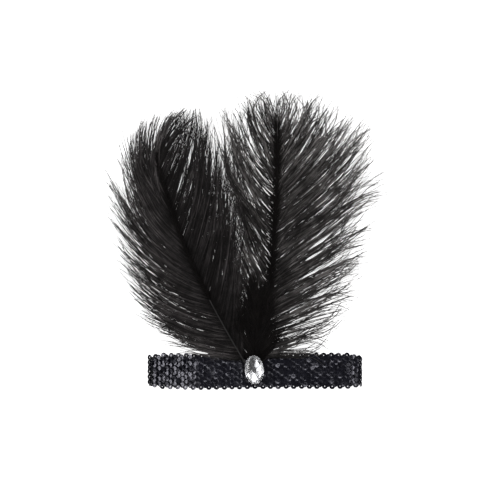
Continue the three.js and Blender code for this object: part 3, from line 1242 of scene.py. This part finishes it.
@dataclass
class Plume:
    """An ostrich plume: a quill and two vanes of long barbs that carry fine down."""

    name: str
    node: str
    quill: Quill
    vanes: tuple[Vane, ...]
    seed: int
    sheath_barbs: int = 1500
    sheath_length: float = 11.0
    sheath_spread: float = 22.0
    sheath_width: float = 0.4
    sheath_root: tuple[float, float] = (0.3, 1.0)
    sheath_rise: tuple[float, float] = (0.2, 1.6)
    down_from: float = 0.02
    down_over: float = 0.94
    floor: float = 0.3

    def track(
        self, vane: Vane, along: np.ndarray, offsets: dict[str, np.ndarray], s: np.ndarray
    ) -> tuple[np.ndarray, np.ndarray]:
        """Lays the way that barbs take from the quill.

        Args:
            vane: The vane.
            along: Where on the quill each barb grows.
            offsets: Each barb's own reach, sweep and curl against the table's.
            s: Shares of the barb at which points are wanted, as barb by step.

        Returns:
            The points, and the directions across them.
        """
        table = np.array([[r.along, r.reach, r.sweep, r.curl, r.tip_z] for r in vane.rows])
        reach, sweep, curl, tip_z = (
            np.interp(along, table[:, 0], table[:, column]) for column in range(1, 5)
        )
        return self.arcs(
            vane.side,
            along,
            vane.reach * reach * offsets["reach"],
            sweep + offsets["sweep"],
            curl + offsets["curl"],
            tip_z,
            s,
        )

    def arcs(
        self,
        side: Side,
        along: np.ndarray,
        reach: np.ndarray,
        sweep: np.ndarray,
        curl: np.ndarray,
        tip_z: np.ndarray,
        s: np.ndarray,
    ) -> tuple[np.ndarray, np.ndarray]:
        """Lays an arc for each barb, which drops or rises to its tip.

        Args:
            side: Which side of the quill they grow on.
            along: Where on the quill each grows.
            reach: Their lengths.
            sweep: Their angles off the quill.
            curl: How far each turns back.
            tip_z: The heights of their tips.
            s: Shares of the barb at which points are wanted, as barb by step.

        Returns:
            The points, and the directions across them.
        """
        root, direction = self.quill.at(np.minimum(along, self.quill.last))
        turn = -side.value * np.radians(curl)
        heading = np.arctan2(direction[:, 1], direction[:, 0]) + side.value * np.radians(sweep)
        half = turn[:, None] * s / 2
        away = reach[:, None] * s * np.sinc(half / math.pi)
        angle = heading[:, None] + half
        x = root[:, None, 0] + away * np.cos(angle)
        y = root[:, None, 1] + away * np.sin(angle)
        z = root[:, None, 2] + (tip_z - root[:, 2])[:, None] * np.minimum(s, 1) ** 1.4
        sideways = np.stack([-np.sin(angle + half), np.cos(angle + half), 0 * angle], -1)
        return np.stack([x, y, z], -1), sideways

    def barbs(self, vane: Vane, rng: np.random.Generator) -> tuple[np.ndarray, np.ndarray]:
        """Grows the barbs of a vane and gathers them into locks, in overlapping layers.

        Args:
            vane: The vane.
            rng: Source of chance.

        Returns:
            The barbs' points, as barb by step by axis, and the directions across them.
        """
        grow, n, layers = vane.growth, vane.growth.barbs, vane.growth.layers
        steps = 2 * grow.segments
        rows = np.array([[r.along, r.fill] for r in vane.rows])
        fine = np.linspace(rows[0, 0], rows[-1, 0], 300)
        crowd = np.cumsum(np.interp(fine, rows[:, 0], rows[:, 1]))
        crowd = (crowd - crowd[0]) / (crowd[-1] - crowd[0])
        order = (np.arange(n) + rng.random(n)) / n
        along = np.interp(order, crowd, fine)
        layer = rng.integers(0, layers, n)
        inside = np.floor(order * grow.locks + layer / layers).astype(int)
        lock = layer * (grow.locks + 1) + inside
        locks = layers * (grow.locks + 1)
        number = np.arange(locks)
        behind = number // (grow.locks + 1) / layers
        middle = (number % (grow.locks + 1) + 0.5 - behind) / grow.locks
        lock_along = np.interp(np.clip(middle, 0, 1), crowd, fine)
        lock_offsets = {
            "reach": 1 - grow.uneven * np.abs(spread(rng, 1.0, locks)),
            "sweep": spread(rng, grow.turn_noise, locks),
            "curl": spread(rng, grow.curl_noise, locks),
        }
        own_offsets = {
            "reach": lock_offsets["reach"][lock],
            "sweep": lock_offsets["sweep"][lock] + spread(rng, grow.own_turn, n),
            "curl": lock_offsets["curl"][lock] + spread(rng, 2 * grow.own_turn, n),
        }
        centre_offsets = {key: value[lock] for key, value in lock_offsets.items()}
        is_short = rng.random(n) < grow.short
        full = 1 - grow.ragged * rng.random(n) ** 1.5
        stop = np.where(is_short, rng.uniform(*grow.short_ends, n), full)
        u = np.linspace(0, 1, steps + 1)
        s = stop[:, None] * u
        path, sideways = self.track(vane, along, own_offsets, s)
        centre, _ = self.track(vane, lock_along[lock], centre_offsets, s)
        loose = rng.random(n) < grow.loose
        hold = np.where(loose, grow.loose_gather, grow.gather * rng.uniform(0.7, 1.0, n))
        grip = hold[:, None] * np.clip((s - 0.1) / 0.75, 0, 1) ** 1.3 * (1 - 0.3 * s**4)
        path += (centre - path) * grip[:, :, None]
        phase = rng.random(locks)[lock] * 2 * math.pi
        wave = spread(rng, grow.wave, locks)[lock]
        shift = wave[:, None] * s * np.sin(phase[:, None] + 4.5 * s)
        own_wave = spread(rng, 0.3 * grow.wave, n)
        shift += own_wave[:, None] * s * np.sin(6 * phase[:, None] + 9 * s)
        shift += spread(rng, grow.splay, n)[:, None] * s**3
        shift += self.crinkle(grow, n, rng, s)
        hook = spread(rng, grow.hook, locks)[lock] + spread(rng, 0.6 * grow.hook, n)
        shift += hook[:, None] * grow.bend(u)
        path += sideways * shift[:, :, None]
        level = (layer - 1) * 0.8 + spread(rng, 0.6, n)
        path[:, :, 2] += grow.depth * level[:, None] * np.sin(0.7 * math.pi * np.minimum(s, 1))
        return path, sideways

    def crinkle(
        self, grow: Growth, n: int, rng: np.random.Generator, s: np.ndarray
    ) -> np.ndarray:
        """Draws the short waves of single barbs.

        Args:
            grow: The vane's growth.
            n: How many barbs there are.
            rng: Source of chance.
            s: Shares of each barb, as barb by step.

        Returns:
            How far each point moves across its barb.
        """
        size = spread(rng, grow.crinkle, n)[:, None]
        start = rng.uniform(0, 2 * math.pi, n)[:, None]
        pace = rng.uniform(8, 13, n)[:, None]
        return size * np.sqrt(s) * np.sin(start + pace * s)

    def tufts(self, vane: Vane, rng: np.random.Generator) -> tuple[np.ndarray, np.ndarray]:
        """Grows the locks that stand out from a vane.

        Args:
            vane: The vane.
            rng: Source of chance.

        Returns:
            Their barbs' points, and the directions across them.
        """
        grow = vane.growth
        table = [[t.along, t.reach, t.sweep, t.curl, t.tip_z] for t in vane.tufts]
        barbs = [t.barbs for t in vane.tufts]
        along, reach, sweep, curl, tip_z = np.repeat(table, barbs, axis=0).T
        n = len(along)
        u = np.linspace(0, 1, 2 * grow.segments + 1)
        s = (1 - grow.tuft_ragged * rng.random(n) ** 2)[:, None] * u
        centre, sideways = self.arcs(vane.side, along, reach, sweep, curl, tip_z, s)
        root_along = np.clip(along + spread(rng, grow.tuft_root, n), 0.03, 1)
        path, _ = self.arcs(
            vane.side,
            root_along,
            reach,
            sweep + spread(rng, grow.tuft_turn, n),
            curl + spread(rng, grow.curl_noise, n),
            tip_z,
            s,
        )
        path += (centre - path) * (grow.tuft_gather * np.clip(s / 0.7, 0, 1))[:, :, None]
        shift = spread(rng, 0.6 * grow.splay, n)[:, None] * s**2 + self.crinkle(grow, n, rng, s)
        hook = np.repeat(spread(rng, grow.hook, len(table)), barbs)
        hook += spread(rng, 0.4 * grow.hook, n)
        shift += hook[:, None] * grow.bend(u)
        path += sideways * shift[:, :, None]
        path[:, :, 2] += spread(rng, 0.8, n)[:, None] * np.sin(0.7 * math.pi * s)
        return path, sideways

    def fibres(
        self, vane: Vane, path: np.ndarray, sideways: np.ndarray, rng: np.random.Generator
    ) -> tuple[np.ndarray, np.ndarray]:
        """Splits each barb into fibres that twist round it and end one after another.

        Args:
            vane: The vane.
            path: The barbs' points.
            sideways: Directions across the barbs.
            rng: Source of chance.

        Returns:
            The fibres' points, as fibre by step by axis, and a random tone for each.
        """
        grow = vane.growth
        barb = np.repeat(np.arange(len(path)), grow.fibres)
        n = len(barb)
        u = np.linspace(0, 1, grow.segments + 1)
        end = np.where(np.arange(n) % grow.fibres == 0, 1.0, rng.uniform(0.7, 1.0, n))
        way = end[:, None] * u
        place = way * (path.shape[1] - 1)
        low = np.minimum(place.astype(int), path.shape[1] - 2)
        part = (place - low)[:, :, None]
        pick = barb[:, None]
        line = path[pick, low] * (1 - part) + path[pick, low + 1] * part
        across = sideways[pick, low]
        off_line = grow.bundle * np.clip(0.3 + 4 * way, 0, 1) * (1 - 0.75 * way**2)
        off_line = off_line * rng.uniform(0.3, 1.0, n)[:, None]
        roll = rng.uniform(0, 2 * math.pi, n)[:, None] + rng.normal(0, grow.twist, n)[:, None] * way
        line = line + across * (off_line * np.cos(roll))[:, :, None]
        line[:, :, 2] += off_line * np.sin(roll)
        line[:, :, 2] = np.maximum(line[:, :, 2], self.floor)
        tone = 0.6 * rng.random(len(path))[barb] + 0.4 * rng.random(n)
        return line, tone

    def down(
        self, vane: Vane, path: np.ndarray, tone: np.ndarray, rng: np.random.Generator
    ) -> tuple[np.ndarray, np.ndarray, np.ndarray, np.ndarray]:
        """Sets fine down on the barbs.

        Args:
            vane: The vane.
            path: The barbs' points.
            tone: Each barb's tone.
            rng: Source of chance.

        Returns:
            Vertices, faces, place along the barb and tone.
        """
        grow, count = vane.growth, vane.growth.down
        barb = rng.integers(0, len(path), count)
        u = self.down_from + self.down_over * rng.random(count) ** 1.4
        place = u * grow.segments
        low = place.astype(int)
        start, end = path[barb, low], path[barb, low + 1]
        root = start + (end - start) * (place - low)[:, None]
        line = unit(end - start)
        across = unit(np.cross(UP, line))
        upward = np.cross(line, across)
        roll = rng.normal(0, 0.7, count) + rng.integers(0, 2, count) * math.pi
        side = np.cos(roll)[:, None] * across + np.sin(roll)[:, None] * upward
        lean = np.radians(rng.uniform(18, 50, count))
        size = grow.down_length * rng.uniform(0.4, 1.3, count) * np.clip((1.1 - u) / 0.4, 0.3, 1)
        head = root + size[:, None] * (
            np.cos(lean)[:, None] * line + np.sin(lean)[:, None] * side
        )
        head[:, 2] = np.maximum(head[:, 2], self.floor)
        points, faces = needles(root, head, grow.down_width * rng.uniform(0.7, 1.3, count))
        return points, faces, np.repeat(u, 4), np.repeat(tone[barb], 4)

    def sheath(self, rng: np.random.Generator) -> tuple[np.ndarray, np.ndarray, np.ndarray]:
        """Covers the quill with short barbs beyond its bare part.

        Args:
            rng: Source of chance.

        Returns:
            Their vertices, faces and places along the quill.
        """
        count = self.sheath_barbs
        share = rng.uniform(self.quill.bare, self.quill.last, count)
        root, way = self.quill.at(share)
        root[:, 2] += rng.uniform(*self.sheath_root, count)
        side = rng.integers(0, 2, count) * 2 - 1
        angle = np.arctan2(way[:, 1], way[:, 0])
        angle += side * np.radians(rng.uniform(3, self.sheath_spread, count))
        length = self.sheath_length * rng.uniform(0.4, 1.2, count)
        head = root + length[:, None] * np.stack([np.cos(angle), np.sin(angle), 0 * angle], -1)
        head[:, 2] += rng.uniform(*self.sheath_rise, count)
        points, faces = needles(root, head, self.sheath_width * rng.uniform(0.6, 1.3, count))
        return points, faces, np.repeat(share, 4)

    def build_quill(
        self, finish: bpy.types.Material, barb_finish: bpy.types.Material
    ) -> bpy.types.Object:
        """Builds the quill and the short barbs over it.

        Args:
            finish: The quill's material.
            barb_finish: The barbs' material.

        Returns:
            The object.
        """
        rng = np.random.default_rng(self.seed)
        share, sides = np.linspace(0, self.quill.last, 60), 8
        line, _ = self.quill.at(share)
        radius = self.quill.radius + (self.quill.tip_radius - self.quill.radius) * share**0.7
        points, faces = tubes(line[None], radius[None], sides)
        bodies = Bodies()
        bodies.add(points, faces, along=np.repeat(share, sides))
        points, faces, places = self.sheath(rng)
        bodies.add(points, [faces], places, rng.random(len(points)), slot=1)
        return self._dress(bodies.build(self.name + "_quill", [finish, barb_finish], smooth=True))

    def build_vane(self, vane: Vane, finish: bpy.types.Material) -> bpy.types.Object:
        """Builds a vane.

        Args:
            vane: The vane.
            finish: Its material.

        Returns:
            The object.
        """
        rng = np.random.default_rng(self.seed + vane.side.value)
        grow, sides = vane.growth, 3
        path, sideways = self.barbs(vane, rng)
        if vane.tufts:
            tuft_path, tuft_sideways = self.tufts(vane, rng)
            path = np.concatenate([path, tuft_path])
            sideways = np.concatenate([sideways, tuft_sideways])
        path, tone = self.fibres(vane, path, sideways, rng)
        u = np.linspace(0, 1, grow.segments + 1)
        radius = grow.radius + (grow.tip_radius - grow.radius) * u**2
        count = len(path)
        roll = rng.normal(0, 0.5, count)[:, None] + rng.normal(0, grow.twist, count)[:, None] * u
        wide = np.broadcast_to(radius, path.shape[:2]) * rng.uniform(0.75, 1.25, count)[:, None]
        points, faces = tubes(path, wide, sides, grow.flat, roll)
        bodies = Bodies()
        bodies.add(
            points,
            faces,
            along=np.tile(np.repeat(u, sides), len(path)),
            tone=np.repeat(tone, sides * len(u)),
        )
        points, faces, along, tones = self.down(vane, path, tone, rng)
        bodies.add(points, [faces], along, tones)
        return self._dress(bodies.build(vane.name, [finish], smooth=True))

    def _dress(self, made: bpy.types.Object) -> bpy.types.Object:
        """Hides the CAD node that a piece of this plume stands for.

        Args:
            made: The piece.

        Returns:
            The same piece.
        """
        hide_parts(self.node)
        return made


def left_plume() -> Plume:
    """Describes the left plume, which sweeps out to the left.

    Returns:
        The plume with its tables.
    """
    quill = Quill(-5.4, 243, 23.4, 31, 12, (22, 29), 18, bare=0.34)
    outer = Vane(
        "plume_left_outer_vane",
        Side.LEFT,
        reach=116,
        rows=(
            Row(0.05, 0.5, 54, 8, 17, 1.7),
            Row(0.08, 0.74, 56, 18, 16, 1.7),
            Row(0.12, 0.97, 56, 30, 12, 1.7),
            Row(0.18, 1.13, 56, 42, 6, 1.6),
            Row(0.25, 1.13, 53, 47, 2.5, 1.4),
            Row(0.33, 1.13, 49, 48, 2, 1.2),
            Row(0.42, 1.27, 42, 48, 1.8, 1.1),
            Row(0.5, 1.29, 33, 51, 1.6, 1.1),
            Row(0.58, 1.29, 29, 53, 1.6, 1),
            Row(0.67, 1.16, 29, 61, 1.8, 0.9),
            Row(0.78, 0.94, 26, 70, 3, 0.6),
            Row(0.9, 0.69, -3, 54, 6, 0.5),
            Row(1, 0.57, -69, -25, 10, 0.5),
        ),
        tufts=(
            Tuft(0.72, 129, 25, 102, 9, 26),
            Tuft(0.7, 127, 27, 96, 8, 14),
            Tuft(0.46, 175, 22, 53, 3, 18),
            Tuft(0.42, 177, 24, 50, 3, 16),
            Tuft(0.5, 168, 21, 57, 4, 12),
            Tuft(0.56, 156, 23, 68, 5, 8),
            Tuft(0.26, 200, 17, 13, 2, 16),
            Tuft(0.22, 189, 17, 7, 2, 14),
            Tuft(0.2, 169, 21, 7, 2, 7),
            Tuft(0.3, 185, 30, 42, 2, 8),
            Tuft(0.34, 184, 20, 33, 2, 8),
            Tuft(0.12, 138, 35, 21, 4, 5),
            Tuft(0.1, 117, 47, 31, 4, 5),
            Tuft(0.07, 94, 60, 42, 8, 5),
        ),
        growth=Growth(
            gather=0.14,
            turn_noise=1.6,
            crinkle=1.0,
            ragged=0.2,
            tip_radius=0.165,
            down=8000,
        ),
    )
    inner = Vane(
        "plume_left_inner_vane",
        Side.RIGHT,
        reach=112,
        rows=(
            Row(0.05, 0.74, 26, 2, 20, 1.8),
            Row(0.09, 0.82, 32, 4, 20, 1.2),
            Row(0.18, 1.04, 38, 10, 21, 1.1),
            Row(0.28, 1.24, 42, 16, 20, 1.1),
            Row(0.38, 1.35, 43, 20, 19, 1.0),
            Row(0.5, 1.3, 43, 22, 17, 1.0),
            Row(0.62, 1.24, 41, 20, 14, 0.8),
            Row(0.75, 1.06, 40, 14, 11, 0.6),
            Row(0.88, 0.78, 40, 4, 9, 0.5),
            Row(1.0, 0.52, 40, -8, 9, 0.5),
        ),
        tufts=(
            Tuft(0.5, 168, 33, 11, 14, 12),
            Tuft(0.55, 155, 33, 14, 14, 10),
            Tuft(0.42, 174, 34, 12, 16, 10),
            Tuft(0.3, 182, 35, 15, 16, 12),
            Tuft(0.2, 179, 31, 5, 14, 10),
            Tuft(0.25, 176, 33, 10, 15, 8),
        ),
        growth=Growth(barbs=710, gather=0.2, turn_noise=2.0, crinkle=0.8),
        shade=Shade.DARK,
    )
    return Plume("plume_left", "plume_left", quill, (outer, inner), seed=31)


def right_plume() -> Plume:
    """Describes the right plume, which stands almost upright.

    Returns:
        The plume with its tables.
    """
    quill = Quill(4.4, 256, -4.2, -8, 0, (14, 9), 7)
    growth = Growth(
        barbs=645,
        locks=58,
        gather=0.6,
        tip_radius=0.19,
        wave=3.4,
        hook=7.0,
        crinkle=1.4,
        splay=3.4,
        turn_noise=2.3,
        ragged=0.15,
        down=5500,
    )
    thin_growth = replace(growth, barbs=320, locks=40, gather=0.3, down=3200)
    outer = Vane(
        "plume_right_outer_vane",
        Side.RIGHT,
        reach=127,
        rows=(
            Row(0.05, 0.52, 80, 0, 15.8, 1.2),
            Row(0.08, 0.68, 71, 2, 12, 0.8),
            Row(0.12, 0.76, 63, 0, 8, 0.8),
            Row(0.18, 0.85, 57, -2, 3, 1.3),
            Row(0.25, 0.94, 55, -2, 1.6, 1.5),
            Row(0.34, 1.02, 52, -3, 1.5, 1.3),
            Row(0.43, 1.16, 50, 5, 1.5, 0.8),
            Row(0.5, 1.20, 54, 21, 1.5, 0.8),
            Row(0.56, 1.20, 53, 23, 1.5, 1.1),
            Row(0.64, 1.11, 53, 26, 1.5, 1.3),
            Row(0.72, 0.95, 46, 22, 1.6, 1.1),
            Row(0.8, 0.77, 40, 22, 1.6, 0.9),
            Row(0.91, 0.50, 32, 20, 2.6, 0.7),
            Row(1, 0.30, 9, 5, 4, 0.5),
        ),
        tufts=(
            Tuft(0.86, 65, 26, 23, 4, 6),
            Tuft(0.82, 79, 36, 29, 4, 10),
            Tuft(0.78, 88, 34, 14, 3, 8),
            Tuft(0.74, 100, 16, -26, 3, 8),
            Tuft(0.7, 108, 51, 34, 2, 12),
            Tuft(0.64, 124, 6, -66, 2, 22),
            Tuft(0.6, 125, 65, 59, 2, 12),
            Tuft(0.56, 134, 23, -33, 2, 14),
            Tuft(0.52, 137, 68, 52, 2, 12),
            Tuft(0.47, 138, 29, -26, 2, 8),
            Tuft(0.44, 151, 32, -29, 2, 8),
            Tuft(0.4, 142, 40, -7, 2, 12),
            Tuft(0.38, 143, 38, -19, 2, 6),
            Tuft(0.34, 133, 42, -4, 2, 8),
            Tuft(0.26, 125, 40, -9, 2, 6),
            Tuft(0.07, 85, 59, -4, 6, 6),
            Tuft(0.06, 74, 58, -14, 8, 8),
            Tuft(0.045, 54, 41, -52, 12, 5),
        ),
        growth=growth,
        shade=Shade.MOST_SHEEN,
    )
    inner = Vane(
        "plume_right_inner_vane",
        Side.LEFT,
        reach=97,
        rows=(
            Row(0.12, 0.86, 34, 18, 6, 1.0),
            Row(0.22, 1.08, 38, 22, 5, 0.6),
            Row(0.34, 1.3, 41, 33, 4, 0.42),
            Row(0.46, 1.38, 45, 41, 3.2, 0.4),
            Row(0.58, 1.27, 49, 47, 2.6, 0.38),
            Row(0.7, 1.11, 53, 49, 2.2, 0.38),
            Row(0.81, 0.94, 50, 43, 2.2, 0.42),
            Row(0.91, 0.68, 40, 28, 3, 0.5),
            Row(1.0, 0.36, 14, 8, 4, 0.5),
        ),
        tufts=(
            Tuft(0.84, 70, 18, 15, 4, 8),
            Tuft(0.9, 57, -1, -1, 5, 6),
            Tuft(0.78, 85, 25, 20, 3, 8),
            Tuft(0.74, 95, 30, 20, 3, 12),
            Tuft(0.66, 123, 62, 79, 3, 14),
            Tuft(0.6, 138, 69, 89, 3, 14),
            Tuft(0.54, 135, 60, 68, 3, 12),
            Tuft(0.46, 129, 42, 35, 3, 6),
            Tuft(0.36, 137, 30, 11, 4, 6),
        ),
        growth=thin_growth,
        shade=Shade.MOST_SHEEN,
    )
    return Plume(
        "plume_right",
        "plume_right",
        quill,
        (outer, inner),
        seed=57,
        sheath_barbs=3000,
        sheath_length=16.0,
        sheath_spread=30.0,
    )


def front_plume() -> Plume:
    """Describes the short plume in front, over the quills of the other two.

    Returns:
        The plume with its tables.
    """
    quill = Quill(-0.5, 76, -2, 0, -4, (16.6, 26), 32)
    growth = Growth(barbs=240, locks=16, segments=8, depth=1.0, splay=2.4, wave=1.6, down=4500)
    left = Vane(
        "plume_front_left_vane",
        Side.LEFT,
        reach=58,
        rows=(
            Row(0.1, 0.75, 62, 40, 14, 2.0),
            Row(0.2, 0.85, 46, 30, 24, 1.6),
            Row(0.3, 0.95, 30, 20, 31),
            Row(0.6, 0.9, 26, 16, 32),
            Row(1.0, 0.5, 8, 4, 32),
        ),
        growth=growth,
        shade=Shade.LEAST_SHEEN,
    )
    right = Vane(
        "plume_front_right_vane",
        Side.RIGHT,
        reach=58,
        rows=(
            Row(0.1, 0.75, 62, 36, 14, 2.0),
            Row(0.2, 0.85, 46, 26, 24, 1.6),
            Row(0.32, 0.92, 30, 16, 31),
            Row(0.6, 0.85, 24, 12, 32),
            Row(0.95, 0.5, 12, 4, 32),
        ),
        growth=growth,
        shade=Shade.LEAST_SHEEN,
    )
    return Plume(
        "plume_front", "plume_front", quill, (left, right), seed=83, sheath_spread=50.0
    )


# Studio


@dataclass(frozen=True)
class Softbox:
    """A square lamp that faces the part, its place and side in metres and its power in watts."""

    name: str
    place: tuple[float, float, float]
    side: float
    power: float


@dataclass(frozen=True)
class Studio:
    """A pale floor, soft light from above and a camera that looks straight down."""

    view_middle: tuple[float, float] = (-15.5, 135.0)
    field: float = 494.4
    reference_height: float = 12.0
    lens: float = 85.0
    sensor: float = 36.0
    world: float = 0.06
    floor_half: float = 12.0
    floor_z: float = -0.0004
    aim: tuple[float, float, float] = (0.0, 0.12, 0.0)
    softboxes: tuple[Softbox, ...] = (
        Softbox("softbox_over", (0.3, 1.1, 1.8), 1.0, 20.0),
        Softbox("softbox_left", (-1.9, 0.1, 1.35), 1.0, 26.0),
        Softbox("softbox_right", (1.5, 0.5, 1.2), 0.5, 5.0),
        Softbox("softbox_front", (-0.85, -1.1, 1.5), 0.8, 4.6),
    )

    def floor(self) -> bpy.types.Object:
        """Lays the floor.

        Returns:
            The object.
        """
        half = self.floor_half
        mesh = bpy.data.meshes.new("studio_floor")
        corners = [(-half, -half), (half, -half), (half, half), (-half, half)]
        mesh.from_pydata([(x, y, self.floor_z) for x, y in corners], [], [(0, 1, 2, 3)])
        material, _, shader = bare_material("studio_white")
        settle(
            shader,
            {
                "Base Color": (0.9, 0.9, 0.9, 1.0),
                "Roughness": 0.95,
                "Specular IOR Level": 0.0,
                "Emission Color": (1.0, 1.0, 1.0, 1.0),
                "Emission Strength": 0.9,
            },
        )
        mesh.materials.append(material)
        made = bpy.data.objects.new("studio_floor", mesh)
        bpy.context.scene.collection.objects.link(made)
        return made

    def light(self) -> None:
        """Hangs the softboxes and sets the even light around them."""
        scene = bpy.context.scene
        world = bpy.data.worlds.new("studio")
        world.use_nodes = True
        background = world.node_tree.nodes["Background"]
        background.inputs["Color"].default_value = (1.0, 1.0, 1.0, 1.0)
        background.inputs["Strength"].default_value = self.world
        scene.world = world
        target = Vector(self.aim)
        for box in self.softboxes:
            lamp = bpy.data.lights.new(box.name, "AREA")
            lamp.shape = "SQUARE"
            lamp.size = box.side
            lamp.energy = box.power
            made = bpy.data.objects.new(box.name, lamp)
            made.location = box.place
            made.rotation_mode = "QUATERNION"
            made.rotation_quaternion = (Vector(box.place) - target).to_track_quat("Z", "Y")
            scene.collection.objects.link(made)

    def camera(self) -> bpy.types.Object:
        """Hangs the camera.

        Returns:
            The camera.
        """
        data = bpy.data.cameras.new("camera")
        data.lens = self.lens
        data.sensor_width = self.sensor
        data.clip_end = 20.0
        made = bpy.data.objects.new("camera", data)
        distance = self.field * self.lens / self.sensor
        made.location = (
            self.view_middle[0] * MM,
            self.view_middle[1] * MM,
            (distance + self.reference_height) * MM,
        )
        bpy.context.scene.collection.objects.link(made)
        bpy.context.scene.camera = made
        return made


def report(made: bpy.types.Object) -> bpy.types.Object:
    """Fixes a piece to the part and logs it.

    Args:
        made: The piece.

    Returns:
        The same piece.
    """
    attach(made, "root")
    triangles = sum(len(p.vertices) - 2 for p in made.data.polygons)
    LOG.info("%s: %d triangles", made.name, triangles)
    return made


def main() -> None:
    """Builds the headband over its frame, in order."""
    logging.basicConfig(level=logging.INFO, format="%(message)s")
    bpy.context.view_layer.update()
    bpy.context.scene.view_settings.view_transform = "Standard"
    studio = Studio()
    studio.camera()
    studio.light()
    studio.floor()

    effects = EffectLibrary()
    # Lit and shaded copies of one black feather: each second colour is painted sheen and painted light
    # through the tips, not a paler dye.
    feathers = {
        Shade.LEAST_SHEEN: FeatherFinish("feather_least_painted_sheen", (0.007, 0.006, 0.006), (0.035, 0.03, 0.028), 0.1),
        Shade.DARK: FeatherFinish("feather_low_painted_sheen", (0.007, 0.006, 0.006), (0.18, 0.165, 0.166), 0.1),
        Shade.BLACK: FeatherFinish("feather_mid_painted_sheen", (0.009, 0.008, 0.008), (0.36, 0.33, 0.33), 0.08),
        Shade.MOST_SHEEN: FeatherFinish("feather_most_painted_sheen", (0.009, 0.008, 0.008), (0.66, 0.62, 0.605), 0.08),
    }
    # The quill's paler colour is painted sheen as well.
    quill_black = FeatherFinish("quill_black", (0.01, 0.009, 0.009), (0.05, 0.045, 0.04), 0.2, 0.45)
    elastic = ClothFinish("elastic_black", (0.008, 0.008, 0.009), (0.03, 0.03, 0.033), 5200, 0.3, 0.6)
    felt = ClothFinish("felt_black", (0.008, 0.008, 0.008), (0.025, 0.025, 0.026), 900, 1.0, 0.8)

    loop = FoldedLoop()
    report(ElasticBand(loop).build(elastic.make(effects)))
    report(SequinTrim(loop).build(SequinFinish().make(effects)))
    pad_low, pad_high = (corner.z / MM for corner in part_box("stem_pad"))
    report(StemPad().build(pad_low, pad_high, felt.make(effects)))
    stone_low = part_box("stone")[0].z
    report(OvalStone().build(stone_low, CrystalFinish().make(effects), FoilFinish().make(effects)))
    barb_finishes = {shade: finish.make(effects) for shade, finish in feathers.items()}
    quill_finish = quill_black.make(effects)
    for plume in (left_plume(), right_plume(), front_plume()):
        report(plume.build_quill(quill_finish, barb_finishes[Shade.LEAST_SHEEN]))
        for vane in plume.vanes:
            report(plume.build_vane(vane, barb_finishes[vane.shade]))


if __name__ == "__main__":
    main()
